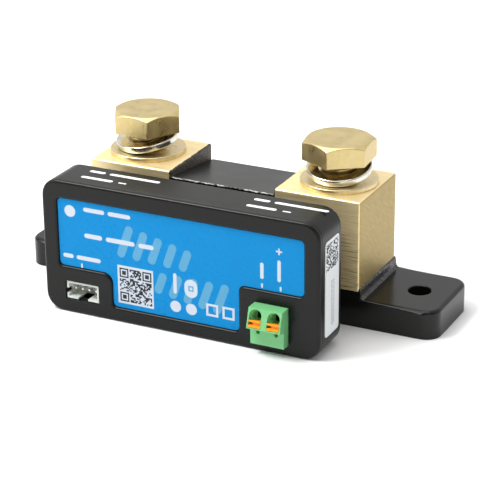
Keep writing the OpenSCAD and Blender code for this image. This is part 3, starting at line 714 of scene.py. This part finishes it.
def make_cover():
    """The cover over the strips, with the uneven bead along its front edge."""
    low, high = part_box("centre_cover")
    obj = cad_copy("centre_cover", "strip_cover")
    soften(obj, 0.25 * MM, segments=2)
    finish_piece(obj, "black_plastic", "root", ["centre_cover"])

    r, sides = 0.2 * MM, 8
    angles = [2 * math.pi * i / sides for i in range(sides)]
    ring = [(r * math.cos(a), r * math.sin(a), 1) for a in angles]
    y, z = low.y + r, high.z - 0.12 * MM
    bead = lumpy_bar("cover_edge_bead", ring, (low.x, y, z), (high.x, y, z), 260, 0.13 * MM, 3.0)
    # The bead's pale grey spots are painted highlights on black potting.
    finish_piece(bead, "potting_edge_glints", "root", slot="black_plastic", angle=60)


def make_potting():
    """The potting compound that was smeared along the outer foot of each block, down to the ear."""
    for name, side in SIDES.items():
        low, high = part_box("block_" + name)
        face = high.x if side > 0 else low.x
        deck_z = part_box("base")[1].z
        rim = DECK_HALF - abs(face)
        foot = EAR_TOP - deck_z
        profile = [
            (-0.3 * MM, -0.4 * MM, 0), (-0.05 * MM, 0.42 * MM, 0.3), (0.12 * MM, 0.25 * MM, 1),
            (rim + 0.06 * MM, -0.1 * MM, 1), (rim + 0.14 * MM, -0.7 * MM, 1),
            (rim + 0.2 * MM, -1.4 * MM, 1),
            (rim + 0.35 * MM, foot + 0.4 * MM, 1), (rim + 0.85 * MM, foot + 0.05 * MM, 0.4),
            (rim + 1.0 * MM, foot - 0.1 * MM, 0), (rim - 0.3 * MM, foot - 0.1 * MM, 0)]
        profile = [(-out, up, free) for out, up, free in profile]
        ends = [(face, low.y + 0.1 * MM, deck_z), (face, high.y + 0.2 * MM, deck_z)]
        if side > 0:
            ends.reverse()
        bead = lumpy_bar("potting_riser_" + name, profile, *ends, 200, 0.1 * MM, 11.0 + side)
        finish_piece(bead, "potting", "root", slot="black_plastic", angle=60)


# ---- Bolts and washers ----

THREAD_PITCH = 1.5 * MM
THREAD_CREST = 4.92 * MM
THREAD_ROOT = 4.05 * MM
HEAD_FLATS = 17.0 * MM
HEAD_HEIGHT = 5.5 * MM
CROWN_R = 8.2 * MM
HEAD_ANGLE = {"left": 58.0, "right": 34.0}
SHANK_OVERLAP = 0.4 * MM


def bolt_axis(side_name):
    """The X and Y of a bolt's axis."""
    low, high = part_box("flat_washer_" + side_name)
    return (low.x + high.x) / 2, (low.y + high.y) / 2


def threaded_shank(centre, z_low, z_high, steps=56):
    """A shank with a right-hand thread, chamfered at its tip."""
    bm = bmesh.new()
    quarter = THREAD_PITCH / 4
    rows = int((z_high - z_low) / quarter) + 10
    tip = 1.0 * MM
    columns = []
    for i in range(steps):
        share = i / steps
        angle = 2 * math.pi * share
        column = []
        for j in range(rows):
            z = z_low + (j - 4 + 4 * share) * quarter
            crest = j % 4 in (2, 3)
            z = min(max(z, z_low), z_high)
            limit = THREAD_CREST - tip + min(tip, z - z_low)
            r = min(THREAD_CREST if crest else THREAD_ROOT, limit)
            x, y = centre[0] + r * math.cos(angle), centre[1] + r * math.sin(angle)
            column.append(bm.verts.new((x, y, z)))
        columns.append(column)
    for i, column in enumerate(columns):
        last = i == steps - 1
        after = columns[0] if last else columns[i + 1]
        shift = 4 if last else 0
        for j in range(rows - 1 - shift):
            quad = (column[j], after[j + shift], after[j + 1 + shift], column[j + 1])
            bm.faces.new(quad)
    bmesh.ops.remove_doubles(bm, verts=bm.verts, dist=0.001 * MM)
    bmesh.ops.dissolve_degenerate(bm, edges=bm.edges, dist=0.0005 * MM)
    loops = [e for e in bm.edges if len(e.link_faces) == 1]
    bmesh.ops.holes_fill(bm, edges=loops, sides=0)
    return bm


def make_bolt(side_name):
    """A hexagon bolt: chamfered head with softened edges, and a threaded shank."""
    node = "bolt_" + side_name
    low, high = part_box(node)
    x, y = bolt_axis(side_name)
    head_z = high.z - HEAD_HEIGHT
    angle = math.radians(HEAD_ANGLE[side_name])
    corner_r = HEAD_FLATS / math.sqrt(3)
    turns = [angle + math.radians(60 * i) for i in range(6)]
    hexagon = [(x + corner_r * math.cos(a), y + corner_r * math.sin(a)) for a in turns]
    head = new_object(
        "hex_bolt_" + side_name, prism(hexagon, lambda p, h: Vector((p[0], p[1], head_z + h)), HEAD_HEIGHT))
    foot_r = CROWN_R + HEAD_HEIGHT * math.sqrt(3)
    crown = cone("cone", (x, y, head_z), (0, 0, 1), foot_r, CROWN_R, HEAD_HEIGHT, 144)
    boolean(head, crown, "INTERSECT")
    soften(head, 0.16 * MM, segments=3, angle=24)
    shank = new_object("shank", threaded_shank((x, y), low.z, head_z + SHANK_OVERLAP))
    boolean(head, shank, "UNION")
    finish_piece(head, "brass_bolt", BODY_OF[node], [node], angle=32)


def make_washers(side_name):
    """The stamped flat washer, with one rolled edge and small nicks, and the split spring washer."""
    node = "flat_washer_" + side_name
    low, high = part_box(node)
    x, y = bolt_axis(side_name)
    outer, inner = (high.x - low.x) / 2, 5.15 * MM
    roll, burr = 0.35 * MM, 0.08 * MM
    steps = 5
    arc = [math.radians(90 * i / steps) for i in range(steps + 1)]
    profile = [(inner, low.z), (outer - burr, low.z), (outer, low.z + burr)]
    profile += [(outer - roll + roll * math.cos(a), high.z - roll + roll * math.sin(a)) for a in arc]
    profile += [(inner + burr, high.z), (inner, high.z - burr)]
    bm = lathe(profile, (x, y), 160)
    for vertex in bm.verts:
        away = Vector((vertex.co.x - x, vertex.co.y - y, 0))
        if away.length > outer - 0.6 * MM:
            nick = max(0.0, noise.noise(vertex.co / (0.7 * MM)) - 0.25)
            vertex.co -= away.normalized() * nick * 0.22 * MM
    finish_piece(new_object("washer_" + side_name, bm), "washer_metal", BODY_OF[node], [node])

    node = "spring_washer_" + side_name
    spring = cad_copy(node, "lock_washer_" + side_name)
    soften(spring, 0.6 * MM, segments=6, angle=50)
    finish_piece(spring, "spring_metal", BODY_OF[node], [node])


# ---- Enclosure ----

FRONT_FILLET = 0.75 * MM
RECESS_FILLET = 0.6 * MM
SEAM_GROOVE = 0.17 * MM
BACK_FILLET = 0.6 * MM
SEAM_DEPTH = 1.6 * MM
BACK_DEPTH = 13.1 * MM
CORNER_R = 4.7 * MM


def rim_distance(point, low, high):
    """How far inside the enclosure's rounded outline a point lies, seen from the front."""
    middle = (low + high) / 2
    half = (high - low) / 2
    qx = abs(point.x - middle.x) - half.x + CORNER_R
    qz = abs(point.z - middle.z) - half.z + CORNER_R
    outside = math.hypot(max(qx, 0), max(qz, 0))
    return CORNER_R - outside - min(max(qx, qz), 0)


def near_box(point, node, margin):
    """Whether a point lies in a node's box or within the margin round it, seen from the front."""
    low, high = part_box(node)
    return low.x - margin < point.x < high.x + margin and low.z - margin < point.z < high.z + margin


def make_enclosure():
    """Both shells: a soft front edge, a rolled label recess and a fine groove along the seam."""
    low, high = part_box("enclosure_front")
    seam_y = low.y + SEAM_DEPTH
    back_y = low.y + BACK_DEPTH
    opening = 0.5 * MM

    def front_weights(middle, _edge):
        rim = rim_distance(middle, low, high) < 0.25 * MM
        if at(middle.y, seam_y) and rim:
            return SEAM_GROOVE / FRONT_FILLET
        if not at(middle.y, low.y):
            return 0
        if rim:
            return 1
        if near_box(middle, "data_socket", opening) or near_box(middle, "plug_body", opening):
            return 0.12
        if near_box(middle, "front_label", opening):
            return RECESS_FILLET / FRONT_FILLET
        return 0

    front = cad_copy(
        "enclosure_front", "front_shell", front_weights, rings=[(1, low.y)], ring_width=0.9 * MM)
    soften(front, FRONT_FILLET, segments=5, weighted=True)
    finish_piece(front, "black_plastic", "root", ["enclosure_front"])

    def rear_weights(middle, _edge):
        rim = rim_distance(middle, low, high) < 0.25 * MM
        if at(middle.y, seam_y) and rim:
            return SEAM_GROOVE / BACK_FILLET
        if at(middle.y, back_y) and rim:
            return 1
        return 0

    rear = cad_copy("enclosure_rear", "rear_shell", rear_weights, rings=[(1, back_y)], ring_width=0.8 * MM)
    soften(rear, BACK_FILLET, segments=4, weighted=True)
    finish_piece(rear, "black_plastic", "root", ["enclosure_rear"])


# ---- Prints ----


def code_pattern(sheet, x, y, size, count, seed, finders):
    """A meaningless matrix of random dark cells, with three framed corners if finders is true. x and y
    are its lower left corner."""
    cell = size / count
    dice = random.Random(seed)
    corner = 7  # cells along a framed corner

    def in_finder(column, row):
        if not finders:
            return False
        return (column <= corner and (row <= corner or row >= count - 1 - corner)) or (
            column >= count - 1 - corner and row >= count - 1 - corner)

    for row in range(count):
        start = None
        for column in range(count + 1):
            dark = column < count and dice.random() < 0.5 and not in_finder(column, row)
            if dark and start is None:
                start = column
            if not dark and start is not None:
                width = (column - start) * cell
                sheet.square(x + start * cell + width / 2, y + (row + 0.5) * cell, width, cell)
                start = None
    if finders:
        half = corner / 2 * cell
        for cx, cy in ((half, half), (half, size - half), (size - half, size - half)):
            sheet.frame(x + cx, y + cy, corner * cell, cell)
            sheet.square(x + cx, y + cy, 3 * cell, 3 * cell)


def make_label():
    """The label's plain print: bars in place of words and marks, lamp windows and a matrix code."""
    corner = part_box("front_label")[0]
    right, up = (1, 0, 0), (0, 0, 1)
    stripes, stripe_step, stripe_width, stripe_lean = 5, 4.3, 2.3, -20
    lamp_x = (33.85, 38.35)
    button = (38.35, 9.05)
    outline_x = (44.3, 48.9)
    pole_x, pole_y = (58.3, 63.0), 15.5
    plus_x, plus_y, plus_line = 63.0, 23.6, 0.42

    pale = Print(corner, right, up)
    for i in range(stripes):
        x = stripe_step * i
        pale.bar(19.6 + x, 18.6 - 0.55 * i, stripe_width, 9.5 - 0.8 * i, lean=stripe_lean)
        pale.bar(29.6 + x, 8.9 - 0.3 * i, stripe_width, 6.2 + 0.7 * i, lean=stripe_lean)
    pale.build("label_stripes", "ink_pale_blue", "label_film")

    white = Print(corner, right, up, film=0.03)
    white.disc(3.6, 24.4, 1.6)
    white.words(7.6, 25.5, (6.2, 6.6), 1.15, 1.0)
    white.words(7.6, 18.3, (5.3, 8.4, 4.4), 1.25, 1.1)
    white.words(1.0, 11.8, (3.1, 7.2), 1.15, 0.9)
    white.bar(6.5, 9.6, 0.5, 1.2, radius=0.1)
    white.words(33.8, 6.9, (5.6,), 0.95, lean=90)
    white.bar(*button, 3.7, 5.0, radius=1.8)
    for x in lamp_x:
        white.disc(x, 3.33, 1.55)
    for x in outline_x:
        white.frame(x, 4.2, 3.4, 0.6)
    for x, length in zip(pole_x, (4.4, 5.8)):
        white.words(x, pole_y, (length,), 0.95, lean=90)
    white.square(plus_x, plus_y, 1.7, plus_line)
    for end in (-1, 1):
        white.square(plus_x, plus_y + 0.53 * end, plus_line, 0.64)
    for x in (58.3, 63.4):
        white.bar(x, 13.7, 0.5, 1.2, radius=0.1)
    white.square(22.3, 6.6, 10.4, 10.6)
    white.build("label_marks", "ink_white", "label_film")

    dark = Print(corner, right, up, film=0.05)
    code_pattern(dark, 17.7, 1.9, 9.3, 25, 7, True)
    dark.build("label_code", "ink_dark", "label_film")

    lamp = Print(corner, right, up, film=0.05)
    lamp.frame(*button, 1.5, 0.35)
    lamp.build("label_lamp_mark", "ink_pale_blue", "label_film")


def make_top_print():
    """Bars in place of the two lines of words at each end of the enclosure's top, with a minus sign."""
    top = (0, 0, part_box("enclosure_front")[1].z)
    first_y, second_y, letter_height = -25.9, -30.3, 1.25
    sheet = Print(top, (1, 0, 0), (0, 1, 0), film=0.02)
    for x, first, second in ((-31.0, (4.6, 14.6), 12.6), (16.2, (4.4, 14.6), 11.6)):
        sheet.words(x, first_y, first, letter_height, 1.3)
        sheet.words(x, second_y, (second - 3.4,), letter_height)
        sheet.bar(x + second - 0.6, second_y, 2.2, 0.6, radius=0.1)
    sheet.build("top_marks", "ink_top", "black_plastic")


def make_side_sticker():
    """The matrix and the fine lines on the side sticker."""
    low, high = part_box("side_sticker")
    face = (high.x, low.y, low.z)
    width, height = (high.y - low.y) / MM, (high.z - low.z) / MM
    dark = Print(face, (0, 1, 0), (0, 0, 1), film=0.012)
    code_pattern(dark, 0.5, height - 7.9, width - 1.1, 22, 21, False)
    dark.build("sticker_code", "ink_dark", "sticker_paper")
    grey = Print(face, (0, 1, 0), (0, 0, 1), film=0.012)
    dice = random.Random(5)
    columns, column_step, line, gap = 3, 0.75, 0.3, 0.22
    for column in range(columns):
        y = 3.0 + column_step * column
        z = 2.0 + dice.random()
        while z < height - 11.5:
            length = 0.25 + 0.55 * dice.random()
            grey.square(width - y, z + length / 2, line, length)
            z += length + gap
    grey.build("sticker_lines", "ink_grey", "sticker_paper")


# ---- Connectors ----

SLOPE_TOP_OUT = 3.3 * MM
SLOPE_LIP_OUT = 4.9 * MM
SLOPE_H = 5.1 * MM
WIRE_S = 1.9 * MM  # S runs down the plug's sloping face, from its upper edge
LEVER_S = 3.1 * MM
LEVER_H = 1.8 * MM
LEVER_DEPTH = 3.0 * MM


def slope_frame(x):
    """The plug's sloping face at x: a matrix whose X runs across, Y down the slope and Z into it."""
    top_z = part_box("plug_body")[1].z
    front_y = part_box("enclosure_front")[0].y
    tilt = math.atan((SLOPE_LIP_OUT - SLOPE_TOP_OUT) / SLOPE_H)
    down = Vector((0, -math.sin(tilt), -math.cos(tilt)))
    inward = Vector((0, math.cos(tilt), -math.sin(tilt)))
    axes = Matrix((Vector((1, 0, 0)), down, inward)).transposed().to_4x4()
    return Matrix.Translation((x, front_y - SLOPE_TOP_OUT, top_z)) @ axes


def make_plug():
    """The pluggable half: funnels into the wire entries and softened edges."""
    body = BODY_OF["plug_body"]
    obj = cad_copy("plug_body", "plug_moulding")
    for lever in ("lever_left", "lever_right"):
        low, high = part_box(lever)
        here = slope_frame((low.x + high.x) / 2)
        start = here @ Vector((0, WIRE_S, 0.7 * MM))
        inward = here.to_3x3() @ Vector((0, 0, 1))
        funnel = cone("funnel", start, inward, 1.52 * MM, 1.2 * MM, 1.6 * MM, 40)
        boolean(obj, funnel)
    soften(obj, 0.09 * MM, segments=2, angle=40)
    finish_piece(obj, "green_plastic", body, ["plug_body"], angle=30)


def make_lever(side_name):
    """A release lever: two ridges with a groove between them and a pit for a screwdriver's tip."""
    node = "lever_" + side_name
    low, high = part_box(node)
    here = slope_frame((low.x + high.x) / 2)
    half = (high.x - low.x) / 2
    proud = 0.1 * MM
    ridge, valley, flank = 0.42 * MM, 0.5 * MM, 0.25 * MM
    end = LEVER_S + LEVER_H
    outline = [
        (LEVER_S, LEVER_DEPTH), (LEVER_S, -proud), (LEVER_S + ridge, -proud),
        (LEVER_S + ridge + flank, valley), (end - ridge - flank, valley),
        (end - ridge, -proud), (end, -proud), (end, LEVER_DEPTH)]
    bm = prism(outline, lambda p, h: here @ Vector((h - half, p[0], p[1])), 2 * half)
    obj = new_object("release_" + node, bm)
    outer, inner = -half - 0.5 * MM, -half + 1.0 * MM
    pit = prism(
        [(outer, LEVER_S + 0.55 * MM), (inner, LEVER_S + 0.65 * MM),
         (inner, LEVER_S + 1.15 * MM), (outer, LEVER_S + 1.25 * MM)],
        lambda p, h: here @ Vector((p[0], p[1], h)), 1.5 * MM)
    boolean(obj, new_object("pit", pit))
    soften(obj, 0.08 * MM, segments=2, angle=40)
    finish_piece(obj, "orange_plastic", BODY_OF[node], [node])


def make_socket():
    """The data socket with softened edges."""
    obj = cad_copy("data_socket", "pin_socket")
    soften(obj, 0.1 * MM, segments=2, angle=40)
    finish_piece(obj, "ivory_plastic", "root", ["data_socket"])


# ---- CAD nodes that keep their shape ----


def dress_cad_nodes():
    """Gives every CAD node that still shows the material of its slot."""
    for name, obj in frame["nodes"].items():
        obj.data.materials.clear()
        obj.data.materials.append(LOOKS[SLOT_OF[name]])


make_camera()
LOOKS = make_looks()
make_studio()
dress_cad_nodes()
make_base()
make_cover()
make_potting()
make_enclosure()
make_label()
make_top_print()
make_side_sticker()
make_plug()
make_socket()
for side in SIDES:
    make_block(side)
    make_washers(side)
    make_bolt(side)
    make_lever(side)

boxes = {"cad": cad_box, "visual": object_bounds()}
{k: [list(corner) for corner in box] for k, box in boxes.items()}
